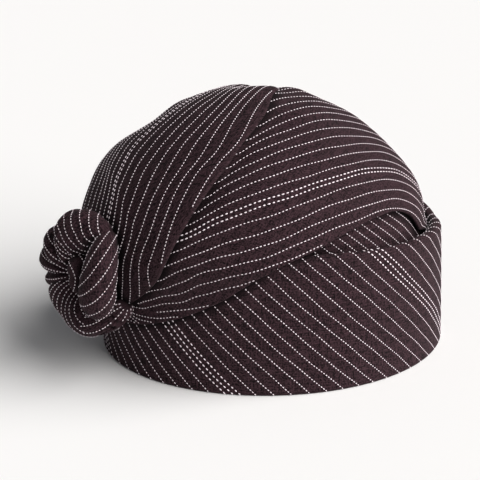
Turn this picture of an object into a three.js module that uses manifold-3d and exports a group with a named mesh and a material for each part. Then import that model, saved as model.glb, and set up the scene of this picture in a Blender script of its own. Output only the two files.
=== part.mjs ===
// Draped turban hat of pin-striped cloth: a cap inside a turned-up cuff band, a back drape and a front
// drape laid over the cap, and a wound rosette knot on the front. Millimetres and degrees.
// +Z is up, -Y is the front of the hat and +X is the wearer's left.
//
// Azimuth runs around the hat from the front (0) past the wearer's left (90) to the back (180).
// Polar is the angle from the crown's top: 90 is the crown's widest oval, and more hangs over the cuff.
// A place on the drapes is also given as two angles from the crown's top, back and side (to the left).

import * as THREE from 'three';
import { mergeVertices } from 'three/addons/utils/BufferGeometryUtils.js';
import Module from 'manifold-3d';

const { clamp, degToRad, lerp, radToDeg, smoothstep } = THREE.MathUtils;

// Wall of the cap and of the drapes
const CLOTH = 2;

// Cuff band: an oval ring with a flat hem underneath, leaning in towards its rolled top edge
const CUFF = { halfLength: 108, halfWidth: 92, lean: 2.65, leanHeight: 87 };
const CUFF_WALL = 2.6;
const CUFF_ROLL = { width: 4.2, depth: 5, inside: 7 };
const CUFF_HEM = { width: 7.2, height: 3, corner: 1.4 };
const CUFF_STEPS = 72;

// Rolled top edge, in shares of the roll's width inwards and of its depth below the top
const CUFF_ROLL_SHAPE = [
  { inward: 0, below: 1 },
  { inward: -0.15, below: 0.5 },
  { inward: 0.1, below: 0.12 },
  { inward: 0.45, below: 0 },
  { inward: 0.85, below: 0.3 },
  { inward: 0.8, below: 0.8 },
];

// Height of the cuff's top edge: it dips at the back, and the low front is hidden behind the drapes
const CUFF_TOP = [
  { azimuth: 0, height: 46 },
  { azimuth: 30, height: 51 },
  { azimuth: 60, height: 71 },
  { azimuth: 80, height: 84 },
  { azimuth: 95, height: 87 },
  { azimuth: 130, height: 86 },
  { azimuth: 145, height: 83.5 },
  { azimuth: 160, height: 77 },
  { azimuth: 180, height: 71 },
];

// Cap: oval sections from the hem up to the crown, measured on its outside
const CAP_SECTIONS = [
  { height: 3.3, halfLength: 103, halfWidth: 87, centre: 0 },
  { height: 45, halfLength: 100.5, halfWidth: 85, centre: 0 },
  { height: 83, halfLength: 94.5, halfWidth: 82, centre: -5 },
  { height: 98, halfLength: 91, halfWidth: 80, centre: -8 },
  { height: 115, halfLength: 82.5, halfWidth: 72.5, centre: -10.5 },
  { height: 131, halfLength: 67, halfWidth: 58.5, centre: -12 },
  { height: 144, halfLength: 47, halfWidth: 41, centre: -12.8 },
  { height: 152, halfLength: 29, halfWidth: 25.5, centre: -13.4 },
  { height: 157, halfLength: 13, halfWidth: 11.5, centre: -13.4 },
  { height: 158.5, halfLength: 2, halfWidth: 1.8, centre: -13.4 },
];
const CAP_STEPS = { around: 44, up: 15 };

// Crown, the dome that the drapes follow: half length of its widest oval, that oval's proportion, centre
// and height, and the rise above it; the shares flatten the shoulders between the side and the top
const CROWN = { halfLength: 106, proportion: 0.87, centreY: -13.4, widestZ: 81.3, rise: 82.8 };
const CROWN_SHARE = [
  { elevation: -30, share: 1.01 },
  { elevation: 0, share: 1.01 },
  { elevation: 15, share: 0.982 },
  { elevation: 30, share: 0.95 },
  { elevation: 45, share: 0.927 },
  { elevation: 60, share: 0.937 },
  { elevation: 75, share: 0.966 },
  { elevation: 90, share: 1 },
  { elevation: 105, share: 0.966 },
];

// Skirt, where a drape hangs past the crown's widest oval: over the cuff at the front and the sides,
// and inside the cuff at the back; at the sides it hangs straight down
const SKIRT = { dropPerDegree: 1.8, overCuff: 2.6, insideCuff: -9, shortest: 5 };
const SKIRT_TURN = { from: 100, to: 150 };
const SKIRT_STRAIGHT = { from: 55, to: 82 };

// Lower folded edge of the drapes, the same on both sides of the hat
const LOWER_EDGE = [
  { azimuth: 0, polar: 118 },
  { azimuth: 20, polar: 117.5 },
  { azimuth: 30, polar: 114.5 },
  { azimuth: 50, polar: 109 },
  { azimuth: 60, polar: 103 },
  { azimuth: 70, polar: 99.6 },
  { azimuth: 80, polar: 94.8 },
  { azimuth: 90, polar: 87.7 },
  { azimuth: 97, polar: 84.5 },
  { azimuth: 105, polar: 81 },
  { azimuth: 113, polar: 77.5 },
  { azimuth: 123, polar: 75 },
  { azimuth: 133, polar: 74.5 },
  { azimuth: 143, polar: 77 },
  { azimuth: 151, polar: 81 },
  { azimuth: 158, polar: 88 },
  { azimuth: 166, polar: 93 },
  { azimuth: 180, polar: 95 },
];

// Tuck, the front drape's folded edge, from the crown's ridge down to the corner beside the knot;
// the other side of the hat mirrors it
const TUCK = [
  { back: 8, side: 0 },
  { back: 5.5, side: 6 },
  { back: 0, side: 20.5 },
  { back: -10, side: 34 },
  { back: -20, side: 45.5 },
  { back: -36, side: 59 },
  { back: -50, side: 68.5 },
  { back: -58, side: 70.5 },
  { back: -70, side: 68.5 },
  { back: -82, side: 62 },
  { back: -92, side: 56 },
];
const TUCK_CORNER = 31;

// At the tuck the front drape lies a step above the back drape: part of the step lifts the front drape
// and the rest sinks the back one, but over the cuff nothing can sink
const TUCK_STEP = 3.2;
const LIFT = { flat: 8, reach: 22 };
const SINK = { flat: 1, reach: 16 };
const LIFT_SHARE = { top: 0.4, overCuff: 1, from: 65, to: 86 };
const TUCK_SAMPLES = 120;
const UNDERLAP = 4;

// Soft dents (negative) and swells of the drapes
const DENTS = [
  { back: -40, side: -18, reach: 12, height: -2.5 },
  { back: -66, side: -16, reach: 12, height: 1.2 },
  { back: -6, side: -4, reach: 12, height: -1.6 },
  { back: 10, side: 28, reach: 10, height: -1.4 },
  { back: -28, side: 30, reach: 14, height: 0.8 },
  { back: 4, side: 64, reach: 16, height: 0.8 },
];

// Facets of the drapes, crowded towards the tuck
const FRONT_STEPS = { along: 36, across: 13 };
const BACK_STEPS = { along: 44, across: 9 };
const FOLD_CROWDING = 1.4;

// Knot: a ring of overlapping lobes around an inner curl and a core. Ring angles run from the side that
// faces the wearer's left (0) over the top (90). Start and end are the distances of a lobe's middle line
// from the knot's middle, wide its half thickness in the ring's plane and deep the one across it.
const KNOT = { x: 39.5, y: -124.9, z: 66, azimuth: 21.5 };
const KNOT_LOBES = [
  { from: -86, to: 66, start: 24, end: 24, wide: 14, deep: 16, lift: 2, ridges: 0, ridge: 0 },
  { from: 36, to: 124, start: 26.5, end: 26, wide: 13.5, deep: 14, lift: -1, ridges: 3, ridge: 0.05 },
  { from: 104, to: 222, start: 23, end: 24, wide: 13.5, deep: 13, lift: -1, ridges: 5, ridge: 0.08 },
  { from: 196, to: 296, start: 25, end: 26, wide: 13.5, deep: 12.5, lift: -1, ridges: 0, ridge: 0 },
  { from: 250, to: 350, start: 28.5, end: 28.5, wide: 11.5, deep: 12, lift: -4, ridges: 0, ridge: 0 },
  { from: 130, to: 450, start: 14, end: 3, wide: 6.5, deep: 9, lift: 2, ridges: 0, ridge: 0 },
];
const KNOT_CORE = { wide: 14, deep: 16, lift: -6 };
const LOBE_STEPS = { along: 16, around: 14 };
const LOBE_END = 6;
const SEAT = { depth: 14, margin: 0.02, gap: 0.55 };

const BLACK_CLOTH = 0x392b2f;
const CUFF_CLOTH = 0x2f2024;

// A smooth curve of one column of a table against another.
function curveThrough(rows, from, to) {
  const slope = (a, b) => (rows[b][to] - rows[a][to]) / (rows[b][from] - rows[a][from]);
  return (x) => {
    let i = 0;
    while (i < rows.length - 2 && x > rows[i + 1][from]) i += 1;
    const span = rows[i + 1][from] - rows[i][from];
    const t = clamp((x - rows[i][from]) / span, 0, 1);
    const start = slope(Math.max(i - 1, 0), i + 1) * span;
    const end = slope(i, Math.min(i + 2, rows.length - 1)) * span;
    const rise = rows[i + 1][to] - rows[i][to];
    return rows[i][to] + t * (start + t * (3 * rise - 2 * start - end + t * (start + end - 2 * rise)));
  };
}

const cuffTop = curveThrough(CUFF_TOP, 'azimuth', 'height');
const crownShare = curveThrough(CROWN_SHARE, 'elevation', 'share');
const lowerPolar = curveThrough(LOWER_EDGE, 'azimuth', 'polar');

// The azimuth counted the short way round, without its side.
function fromFront(azimuth) {
  return Math.abs(((azimuth + 540) % 360) - 180);
}

// A point at a depth inside the cuff's outer face; a negative depth is outside it.
function cuffPoint(azimuth, z, depth) {
  const inward = (CUFF.lean * z) / CUFF.leanHeight + depth;
  const angle = degToRad(azimuth);
  return new THREE.Vector3(
    (CUFF.halfWidth - inward) * Math.sin(angle),
    -(CUFF.halfLength - inward) * Math.cos(angle),
    z,
  );
}

// The swell of the drapes at a place, from the dents table.
function dentHeight(back, side) {
  return DENTS.reduce((sum, dent) => {
    const far = Math.hypot(back - dent.back, side - dent.side) / dent.reach;
    return sum + dent.height * Math.exp(-far * far);
  }, 0);
}

// The smooth surface that the drapes follow.
function drapePoint(back, side) {
  const polar = Math.hypot(back, side);
  const azimuth = radToDeg(Math.atan2(side, -back));
  const elevation = 90 - Math.min(polar, 90);
  const share = crownShare(elevation);
  const reach = CROWN.halfLength * share * Math.cos(degToRad(elevation));
  const angle = degToRad(azimuth);
  const below = SKIRT.dropPerDegree * Math.max(polar - 90, 0);
  const point = new THREE.Vector3(
    CROWN.proportion * reach * Math.sin(angle),
    CROWN.centreY - reach * Math.cos(angle),
    CROWN.widestZ + CROWN.rise * share * Math.sin(degToRad(elevation)) - below,
  );
  if (below === 0) return point;
  const turned = fromFront(azimuth);
  const hang = SKIRT.dropPerDegree * Math.max(lowerPolar(turned) - 90, 0);
  const inside = smoothstep(turned, SKIRT_TURN.from, SKIRT_TURN.to);
  const stand = lerp(SKIRT.overCuff, SKIRT.insideCuff, inside);
  const straight = smoothstep(turned, SKIRT_STRAIGHT.from, SKIRT_STRAIGHT.to) - inside;
  const beneath = radToDeg(Math.acos(clamp(-point.y / CUFF.halfLength, -1, 1)));
  const onCuff = cuffPoint(Math.sign(azimuth) * lerp(turned, beneath, straight), point.z, -stand);
  return point.lerp(onCuff, smoothstep(below, 0, Math.max(hang, SKIRT.shortest)));
}

// A point raised over that surface along its normal, with the dents added.
function raisedPoint(back, side, height) {
  const step = 0.5;
  const alongBack = drapePoint(back + step, side).sub(drapePoint(back - step, side));
  const alongSide = drapePoint(back, side + step).sub(drapePoint(back, side - step));
  const normal = alongSide.cross(alongBack).normalize();
  return drapePoint(back, side).addScaledVector(normal, height + dentHeight(back, side));
}

// A mesh from a list of points and a list of triangles.
function facets(points, triangles) {
  const geometry = new THREE.BufferGeometry();
  const positions = points.flatMap((point) => [point.x, point.y, point.z]);
  geometry.setAttribute('position', new THREE.Float32BufferAttribute(positions, 3));
  geometry.setIndex(triangles.flat());
  return geometry;
}

// A closed wall over a grid: face(u, v, outside) gives its points, u along and v across.
function wall(steps, face) {
  const points = [];
  const triangles = [];
  const across = steps.across + 1;
  const layer = (steps.along + 1) * across;
  for (const outside of [true, false]) {
    for (let i = 0; i <= steps.along; i += 1) {
      for (let j = 0; j <= steps.across; j += 1) {
        points.push(face(i / steps.along, j / steps.across, outside));
      }
    }
  }
  const quad = (a, b, c, d) => triangles.push([a, b, c], [a, c, d]);
  const at = (i, j) => i * across + j;
  for (let i = 0; i < steps.along; i += 1) {
    for (let j = 0; j < steps.across; j += 1) {
      const corners = [at(i, j), at(i, j + 1), at(i + 1, j + 1), at(i + 1, j)];
      quad(...corners);
      quad(...corners.map((corner) => corner + layer).reverse());
    }
  }
  const rim = [];
  for (let i = 0; i < steps.along; i += 1) rim.push(at(i, 0));
  for (let j = 0; j < steps.across; j += 1) rim.push(at(steps.along, j));
  for (let i = steps.along; i > 0; i -= 1) rim.push(at(i, steps.across));
  for (let j = steps.across; j > 0; j -= 1) rim.push(at(0, j));
  rim.forEach((here, n) => {
    const next = rim[(n + 1) % rim.length];
    quad(here, next, next + layer, here + layer);
  });
  return facets(points, triangles);
}

// A closed ring: section(azimuth) gives the points of one closed outline, which runs clockwise when
// seen with the ring's middle at the left.
function ring(steps, section) {
  const points = [];
  const triangles = [];
  for (let i = 0; i < steps; i += 1) points.push(...section((360 * i) / steps));
  const count = points.length / steps;
  for (let i = 0; i < steps; i += 1) {
    for (let j = 0; j < count; j += 1) {
      const next = ((i + 1) % steps) * count;
      const [a, b] = [i * count + j, i * count + ((j + 1) % count)];
      const [c, d] = [next + ((j + 1) % count), next + j];
      triangles.push([a, c, b], [a, d, c]);
    }
  }
  return facets(points, triangles);
}

// Cuff band: the flat hem, the outer face, the rolled top edge and the inner face.
function cuffBand() {
  return ring(CUFF_STEPS, (azimuth) => {
    const top = cuffTop(fromFront(azimuth));
    const { width, depth, inside } = CUFF_ROLL;
    const outline = [
      [CUFF_HEM.corner, 0],
      [0, CUFF_HEM.corner],
      ...CUFF_ROLL_SHAPE.map(({ inward, below }) => [inward * width, top - below * depth]),
      [CUFF_WALL, top - inside],
      [CUFF_WALL, CUFF_HEM.height],
      [CUFF_HEM.width, CUFF_HEM.height],
      [CUFF_HEM.width, CUFF_HEM.corner],
      [CUFF_HEM.width - CUFF_HEM.corner, 0],
    ];
    return outline.map(([inward, z]) => cuffPoint(azimuth, z, inward));
  });
}

// Cap: an open shell, its wall measured square to the outside.
function baseCap() {
  const column = (name) => curveThrough(CAP_SECTIONS, 'height', name);
  const [halfLength, halfWidth, centre] = ['halfLength', 'halfWidth', 'centre'].map(column);
  const bottom = CAP_SECTIONS[0].height;
  const top = CAP_SECTIONS.at(-1).height;
  const points = [];
  const triangles = [];
  const outside = (turn, level) => {
    const z = bottom + (top - bottom) * Math.sin((level * Math.PI) / 2);
    const x = halfWidth(z) * Math.sin(turn);
    return new THREE.Vector3(x, centre(z) - halfLength(z) * Math.cos(turn), z);
  };
  const { around, up } = CAP_STEPS;
  for (const inset of [0, CLOTH]) {
    for (let j = 0; j <= up; j += 1) {
      for (let i = 0; i < around; i += 1) {
        const turn = (2 * Math.PI * i) / around;
        const level = j / up;
        const step = 0.004;
        const rise = outside(turn, Math.min(level + step, 1)).sub(outside(turn, Math.max(level - step, 0)));
        const turned = outside(turn + step, level).sub(outside(turn - step, level));
        const normal = turned.cross(rise).normalize();
        const point = outside(turn, level).addScaledVector(normal, -inset);
        if (j === 0) point.z = bottom;
        points.push(point);
      }
    }
  }
  const layer = around * (up + 1);
  const peak = points.push(new THREE.Vector3(0, centre(top), top)) - 1;
  const hollowPeak = points.push(new THREE.Vector3(0, centre(top), top - CLOTH)) - 1;
  for (let i = 0; i < around; i += 1) {
    const next = (i + 1) % around;
    for (let j = 0; j < up; j += 1) {
      const [a, b, c, d] = [j * around + i, j * around + next, (j + 1) * around + next, (j + 1) * around + i];
      triangles.push([a, b, c], [a, c, d]);
      triangles.push([a + layer, c + layer, b + layer], [a + layer, d + layer, c + layer]);
    }
    triangles.push([i, i + layer, next + layer], [i, next + layer, next]);
    triangles.push([up * around + i, up * around + next, peak]);
    triangles.push([layer + up * around + next, layer + up * around + i, hollowPeak]);
  }
  return facets(points, triangles);
}

// The tuck from the wearer's left corner over the ridge to the right corner.
const tuckCurve = new THREE.CatmullRomCurve3(
  [...TUCK.slice(1).reverse(), ...TUCK.map((row) => ({ back: row.back, side: -row.side }))].map(
    (row) => new THREE.Vector3(row.back, row.side, 0),
  ),
  false,
  'catmullrom',
);

// A place on the tuck, moved under the front drape by some degrees.
function tuckPlace(along, under) {
  const u = clamp(along, 0, 1);
  const place = tuckCurve.getPointAt(u);
  const heading = tuckCurve.getTangentAt(u);
  return new THREE.Vector2(place.x + heading.y * under, place.y - heading.x * under);
}

// A place on the lower folded edge.
function edgePlace(azimuth) {
  const polar = lowerPolar(fromFront(azimuth));
  const angle = degToRad(azimuth);
  return new THREE.Vector2(-polar * Math.cos(angle), polar * Math.sin(angle));
}

// Places on the two drapes, across from the tuck to the edge: along runs from the right to the left over
// the front, and from the left to the right around the back.
function frontPlace(along, across) {
  return tuckPlace(1 - along, 0).lerp(edgePlace(lerp(-TUCK_CORNER, TUCK_CORNER, along)), across);
}

function backPlace(along, across) {
  return tuckPlace(along, UNDERLAP).lerp(edgePlace(lerp(TUCK_CORNER, 360 - TUCK_CORNER, along)), across);
}

// The share of a step near the tuck, and the part of it that lifts the front drape.
const tuckPlaces = tuckCurve.getSpacedPoints(TUCK_SAMPLES).map((place) => new THREE.Vector2(place.x, place.y));

function nearTuck(place, slope) {
  const away = Math.min(...tuckPlaces.map((tuck) => tuck.distanceTo(place)));
  return 1 - smoothstep(away, slope.flat, slope.reach);
}

function liftShare(place) {
  return lerp(LIFT_SHARE.top, LIFT_SHARE.overCuff, smoothstep(place.length(), LIFT_SHARE.from, LIFT_SHARE.to));
}

// The drapes as walls; a swollen copy of each cuts the knot's seat.
function drapeFront(swell = 0, depth = CLOTH) {
  return wall(FRONT_STEPS, (u, v, outside) => {
    const place = frontPlace(u, lerp(-swell, 1 + swell, v ** FOLD_CROWDING));
    const lifted = TUCK_STEP * liftShare(place) * nearTuck(place, LIFT);
    const height = lifted + (swell ? SEAT.gap : 0);
    return raisedPoint(place.x, place.y, outside ? height : height - depth);
  });
}

function drapeBack(swell = 0, depth = CLOTH) {
  return wall(BACK_STEPS, (u, v, outside) => {
    const place = backPlace(u, lerp(-swell, 1 + swell, v ** FOLD_CROWDING));
    const sunk = TUCK_STEP * (1 - liftShare(place)) * nearTuck(place, SINK);
    const height = (swell ? SEAT.gap : 0) - sunk;
    return raisedPoint(place.x, place.y, outside ? height : height - depth);
  });
}

// The knot's own directions: away from the hat, towards the wearer's left, and up.
const knotFacing = degToRad(KNOT.azimuth);
const outward = new THREE.Vector3(Math.sin(knotFacing), -Math.cos(knotFacing), 0);
const leftward = new THREE.Vector3(Math.cos(knotFacing), Math.sin(knotFacing), 0);
const upward = new THREE.Vector3(0, 0, 1);
const knotMiddle = new THREE.Vector3(KNOT.x, KNOT.y, KNOT.z);

// One lobe of the knot: a rounded roll along part of the ring, with soft ridges across it.
function knotLobe(lobe) {
  const { along, around } = LOBE_STEPS;
  const points = [];
  const triangles = [];
  for (let i = 0; i <= along; i += 1) {
    const t = -Math.cos((Math.PI * i) / along);
    const share = (t + 1) / 2;
    const angle = degToRad(lerp(lobe.from, lobe.to, share));
    const radial = leftward.clone().multiplyScalar(Math.cos(angle)).addScaledVector(upward, Math.sin(angle));
    const reach = lerp(lobe.start, lobe.end, share);
    const centre = knotMiddle.clone().addScaledVector(radial, reach).addScaledVector(outward, lobe.lift);
    const ends = i === 0 || i === along ? 0 : (1 - Math.abs(t) ** LOBE_END) ** 0.5;
    const size = ends * (1 + lobe.ridge * Math.cos(lobe.ridges * Math.PI * t));
    for (let j = 0; j < (ends ? around : 1); j += 1) {
      const turn = (2 * Math.PI * j) / around;
      points.push(
        centre
          .clone()
          .addScaledVector(radial, lobe.wide * size * Math.cos(turn))
          .addScaledVector(outward, lobe.deep * size * Math.sin(turn)),
      );
    }
  }
  const start = (i) => (i === 0 ? 0 : 1 + (i - 1) * around);
  const last = points.length - 1;
  for (let j = 0; j < around; j += 1) {
    const next = (j + 1) % around;
    triangles.push([0, 1 + j, 1 + next], [last, start(along - 1) + next, start(along - 1) + j]);
    for (let i = 1; i < along - 1; i += 1) {
      const [a, b] = [start(i), start(i + 1)];
      triangles.push([a + j, b + next, a + next], [a + j, b + j, b + next]);
    }
  }
  return facets(points, triangles);
}

// The core, a flattened ball that fills the ring and reaches back to the drapes.
function knotCore() {
  const ball = new THREE.SphereGeometry(1, LOBE_STEPS.along, LOBE_STEPS.around);
  ball.deleteAttribute('normal');
  ball.deleteAttribute('uv');
  const placed = new THREE.Matrix4().makeBasis(leftward, upward, outward);
  placed.scale(new THREE.Vector3(KNOT_CORE.wide, KNOT_CORE.wide, KNOT_CORE.deep));
  placed.setPosition(knotMiddle.clone().addScaledVector(outward, KNOT_CORE.lift));
  return ball.applyMatrix4(placed);
}

// Knot: its lobes and core joined, and its seat cut to fit over the drapes.
async function rosetteKnot() {
  const wasm = await Module();
  wasm.setup();
  const solid = (geometry) => {
    const merged = mergeVertices(geometry);
    const vertProperties = new Float32Array(merged.attributes.position.array);
    return new wasm.Manifold(
      new wasm.Mesh({ numProp: 3, vertProperties, triVerts: new Uint32Array(merged.index.array) }),
    );
  };
  const rolled = KNOT_LOBES.map(knotLobe).map(solid);
  const joined = rolled.reduce((sum, lobe) => sum.add(lobe), solid(knotCore()));
  const seats = [drapeFront(SEAT.margin, SEAT.depth), drapeBack(SEAT.margin, SEAT.depth)].map(solid);
  const { vertProperties, triVerts } = seats.reduce((left, seat) => left.subtract(seat), joined).getMesh();
  const geometry = new THREE.BufferGeometry();
  geometry.setAttribute('position', new THREE.BufferAttribute(vertProperties, 3));
  geometry.setIndex(new THREE.BufferAttribute(triVerts, 1));
  return geometry;
}

function piece(name, geometry, color) {
  const mesh = new THREE.Mesh(geometry, new THREE.MeshStandardMaterial({ color, roughness: 0.9, metalness: 0 }));
  mesh.name = name;
  return mesh;
}

const hat = new THREE.Group();
hat.add(
  piece('cuff_band', cuffBand(), CUFF_CLOTH),
  piece('base_cap', baseCap(), BLACK_CLOTH),
  piece('drape_back', drapeBack(), BLACK_CLOTH),
  piece('drape_front', drapeFront(), BLACK_CLOTH),
  piece('rosette_knot', await rosetteKnot(), CUFF_CLOTH),
);

// The origin is the middle of the whole hat's footprint, at the level that it stands on.
const bounds = new THREE.Box3().setFromObject(hat);
const middle = bounds.getCenter(new THREE.Vector3());
hat.position.set(-middle.x, -middle.y, -bounds.min.z);

export default hat;
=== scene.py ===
# %% [markdown]
# # A draped turban hat of pin-striped cloth
# The hat is five pieces of one dark cloth: a turned-up cuff, a cap inside it, a back drape and a front drape
# laid over the cap, and a wound knot on the front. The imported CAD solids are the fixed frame. Each of them is
# stood for by a finer cloth piece in the same place, and the pale pin stripes are sewn on as real stitches.

# %% Load the frame
import math

import bpy
import numpy as np
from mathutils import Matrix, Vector, noise
from mathutils.bvhtree import BVHTree


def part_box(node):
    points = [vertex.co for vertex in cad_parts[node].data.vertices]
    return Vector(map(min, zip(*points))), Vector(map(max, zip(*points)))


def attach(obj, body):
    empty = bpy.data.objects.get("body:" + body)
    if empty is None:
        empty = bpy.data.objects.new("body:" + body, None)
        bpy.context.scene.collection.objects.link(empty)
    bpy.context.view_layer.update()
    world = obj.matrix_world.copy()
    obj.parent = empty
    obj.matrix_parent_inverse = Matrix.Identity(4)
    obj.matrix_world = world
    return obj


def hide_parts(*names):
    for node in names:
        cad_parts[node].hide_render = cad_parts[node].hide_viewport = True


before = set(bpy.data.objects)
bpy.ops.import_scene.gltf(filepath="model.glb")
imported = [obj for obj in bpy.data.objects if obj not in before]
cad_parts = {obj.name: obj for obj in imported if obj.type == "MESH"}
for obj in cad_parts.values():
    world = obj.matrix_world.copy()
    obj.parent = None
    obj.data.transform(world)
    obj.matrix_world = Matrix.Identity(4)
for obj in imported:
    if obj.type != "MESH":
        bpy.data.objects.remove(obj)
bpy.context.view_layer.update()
MM = 0.001
cuff_low, cuff_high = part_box("cuff_band")
HAT_CENTRE = np.array([(cuff_low.x + cuff_high.x) / 2, (cuff_low.y + cuff_high.y) / 2, 0])
print("CAD nodes:", ", ".join(sorted(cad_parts)))
print("middle of the cuff's oval, mm:", np.round(HAT_CENTRE / MM, 2))

# %% [markdown]
# ## Curves through short tables
# Cloth has few straight lines, so most sizes here change along a curve. A short table of measured places with
# a smooth curve through them is easy to read and to tune. Blender's own curve objects could hold such curves
# too, but a small function works on whole NumPy arrays at once, which keeps the fine meshes quick to build.

# %% Curve helpers


def mix(start, end, share):
    return start + (end - start) * share


def ease(x, low, high):
    """0 below low and 1 above high, with a smooth climb between them."""
    share = np.clip((x - low) / (high - low), 0, 1)
    return share * share * (3 - 2 * share)


def curve_through(rows):
    """A smooth curve through rows of (x, y), level beyond both ends."""
    xs, ys = np.array(rows, float).T
    here = np.arange(len(xs))
    before, after = np.maximum(here - 1, 0), np.minimum(here + 1, len(xs) - 1)
    slopes = (ys[after] - ys[before]) / (xs[after] - xs[before])

    def curve(x):
        i = np.clip(np.searchsorted(xs, x) - 1, 0, len(xs) - 2)
        span = xs[i + 1] - xs[i]
        t = np.clip((x - xs[i]) / span, 0, 1)
        start, end, rise = slopes[i] * span, slopes[i + 1] * span, ys[i + 1] - ys[i]
        return ys[i] + t * (start + t * (3 * rise - 2 * start - end + t * (start + end - 2 * rise)))

    return curve


def unit(vectors):
    return vectors / np.maximum(np.linalg.norm(vectors, axis=-1, keepdims=True), 1e-12)


def waves(points, size, seed):
    """Smooth random swells between about -1 and 1, as wide as size."""
    shift = Vector((seed * 7.3, seed * 3.1, seed * 5.7))
    flat = points.reshape(-1, 3) / size
    values = [noise.noise(Vector(point) + shift) for point in flat]
    return np.array(values).reshape(points.shape[:-1])


def softness(points, rows):
    """The sum of some waves, each a height and a width in mm and a seed."""
    return sum(height * MM * waves(points, width * MM, seed) for height, width, seed in rows)


print("a quarter of the way up an eased step:", ease(0.25, 0, 1))

# %% [markdown]
# ## The cuff's oval and the crown's dome
# Every piece follows one of two shapes: the oval ring of the cuff, which leans in a little towards its top,
# and the dome of the crown. Azimuth runs round the hat from the front (0) past the wearer's left (90) to the
# back (180). A place on the dome is given by two angles from its top, back and side, as on a map seen from
# above; past 90 degrees the cloth hangs as a skirt, outside the cuff at the front and inside it at the back.

# %% Cuff oval and dome
CUFF_HALF_LENGTH = 108 * MM
CUFF_HALF_WIDTH = 92 * MM
CUFF_LEAN = 2.65 / 87
CUFF_TOP = curve_through([
    (0, 46), (30, 51), (60, 71), (80, 84), (95, 87), (105, 86.6), (112, 85.3), (120, 84.3), (130, 82.9),
    (140, 82), (150, 80), (160, 78.3), (170, 76.6), (180, 74.2),
])
CROWN_HALF_LENGTH = 106 * MM
CROWN_PROPORTION = 0.87
CROWN_MIDDLE = -13.4 * MM
CROWN_WIDEST = 81.3 * MM
CROWN_RISE = 82.8 * MM
CROWN_SHARE = curve_through([
    (-30, 1.01), (0, 1.01), (15, 0.982), (30, 0.95), (45, 0.927), (60, 0.937), (75, 0.966), (90, 1),
    (105, 0.966),
])
SKIRT_DROP = 1.8 * MM
SKIRT_OUTSIDE = 2.6 * MM
SKIRT_INSIDE = -9 * MM
SKIRT_SHORTEST = 5 * MM
LOWER_EDGE = curve_through([
    (0, 118), (20, 117.2), (30, 116), (40, 113), (50, 109), (60, 104), (70, 100.2), (80, 94.8), (90, 87.7),
    (97, 84.5), (105, 81), (113, 78), (123, 75.5), (131, 75.1), (137, 75.5), (143, 77.6), (147, 80.2),
    (150, 83.6), (153, 88.2), (156, 92), (162, 94.3), (180, 95.5),
])


def from_front(azimuth):
    """Degrees away from the front, to either side."""
    return np.abs((180 + azimuth) % 360 - 180)


def cuff_ring(azimuth, height, inward):
    """Points at a height on the cuff's oval, moved inwards from its outer face."""
    angle = np.radians(azimuth)
    shrink = CUFF_LEAN * height + inward
    across = (CUFF_HALF_WIDTH - shrink) * np.sin(angle)
    along = -(CUFF_HALF_LENGTH - shrink) * np.cos(angle)
    return np.stack(np.broadcast_arrays(across, along, height), -1)


def dome_point(back, side):
    """Points of the smooth surface that both drapes follow."""
    polar = np.hypot(back, side)
    azimuth = np.degrees(np.arctan2(side, -back))
    elevation = np.radians(90 - np.minimum(polar, 90))
    share = CROWN_SHARE(np.degrees(elevation))
    reach = CROWN_HALF_LENGTH * share * np.cos(elevation)
    below = SKIRT_DROP * np.maximum(polar - 90, 0)
    angle = np.radians(azimuth)
    dome = np.stack([
        CROWN_PROPORTION * reach * np.sin(angle),
        CROWN_MIDDLE - reach * np.cos(angle),
        CROWN_WIDEST + CROWN_RISE * share * np.sin(elevation) - below,
    ], -1)
    turned = np.abs(azimuth)
    hang = SKIRT_DROP * np.maximum(LOWER_EDGE(turned) - 90, 0)
    inside = ease(turned, 100, 150)
    stand = mix(SKIRT_OUTSIDE, SKIRT_INSIDE, inside)
    straight = ease(turned, 55, 82) - inside
    beneath = np.degrees(np.arccos(np.clip(-dome[..., 1] / CUFF_HALF_LENGTH, -1, 1)))
    hung = cuff_ring(np.sign(azimuth) * mix(turned, beneath, straight), dome[..., 2], -stand)
    fall = ease(below, 0, np.maximum(hang, SKIRT_SHORTEST))
    return mix(dome, hung, fall[..., None])


def dome_normal(back, side):
    step = 0.5
    backward = dome_point(back + step, side) - dome_point(back - step, side)
    sideward = dome_point(back, side + step) - dome_point(back, side - step)
    return unit(np.cross(sideward, backward))


print("crown top, mm:", np.round(dome_point(np.zeros(1), np.zeros(1))[0] / MM, 1))

# %% [markdown]
# ## The tuck
# The front drape ends in a folded edge, the tuck, that lies on top of the back drape. It climbs from the
# corner beside the knot over the crown and down the other side. A spline through a few places gives the line,
# and the distance to it lifts the front drape and sinks the back one, so the fold casts its own thin shadow.

# %% Tuck line
TUCK_SIDE = [
    (8, 0), (5.5, 6), (0, 20.5), (-10, 34), (-20, 45.5), (-36, 59), (-50, 68.5), (-58, 71.3), (-67, 70),
    (-78, 65.6), (-88, 59.6), (-95, 54), (-101, 48),
]
TUCK_SPAN_STEPS = 16
AT_A_TIME = 5000


def spline(points, per_span):
    """A Catmull-Rom spline through points."""
    ends = np.vstack([2 * points[0] - points[1], points, 2 * points[-1] - points[-2]])
    t = np.linspace(0, 1, per_span, endpoint=False)[:, None]
    spans = []
    for a, b, c, d in zip(ends, ends[1:], ends[2:], ends[3:]):
        spans.append(b + 0.5 * t * (c - a + t * (2 * a - 5 * b + 4 * c - d + t * (3 * (b - c) + d - a))))
    return np.vstack(spans + [points[-1:]])


left_side = np.array(TUCK_SIDE, float)
right_side = left_side * (1, -1)
tuck_line = spline(np.vstack([left_side[:0:-1], right_side]), TUCK_SPAN_STEPS)
tuck_length = np.r_[0, np.cumsum(np.linalg.norm(np.diff(tuck_line, axis=0), axis=1))]
tuck_heading = unit(np.gradient(tuck_line, axis=0))


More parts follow.
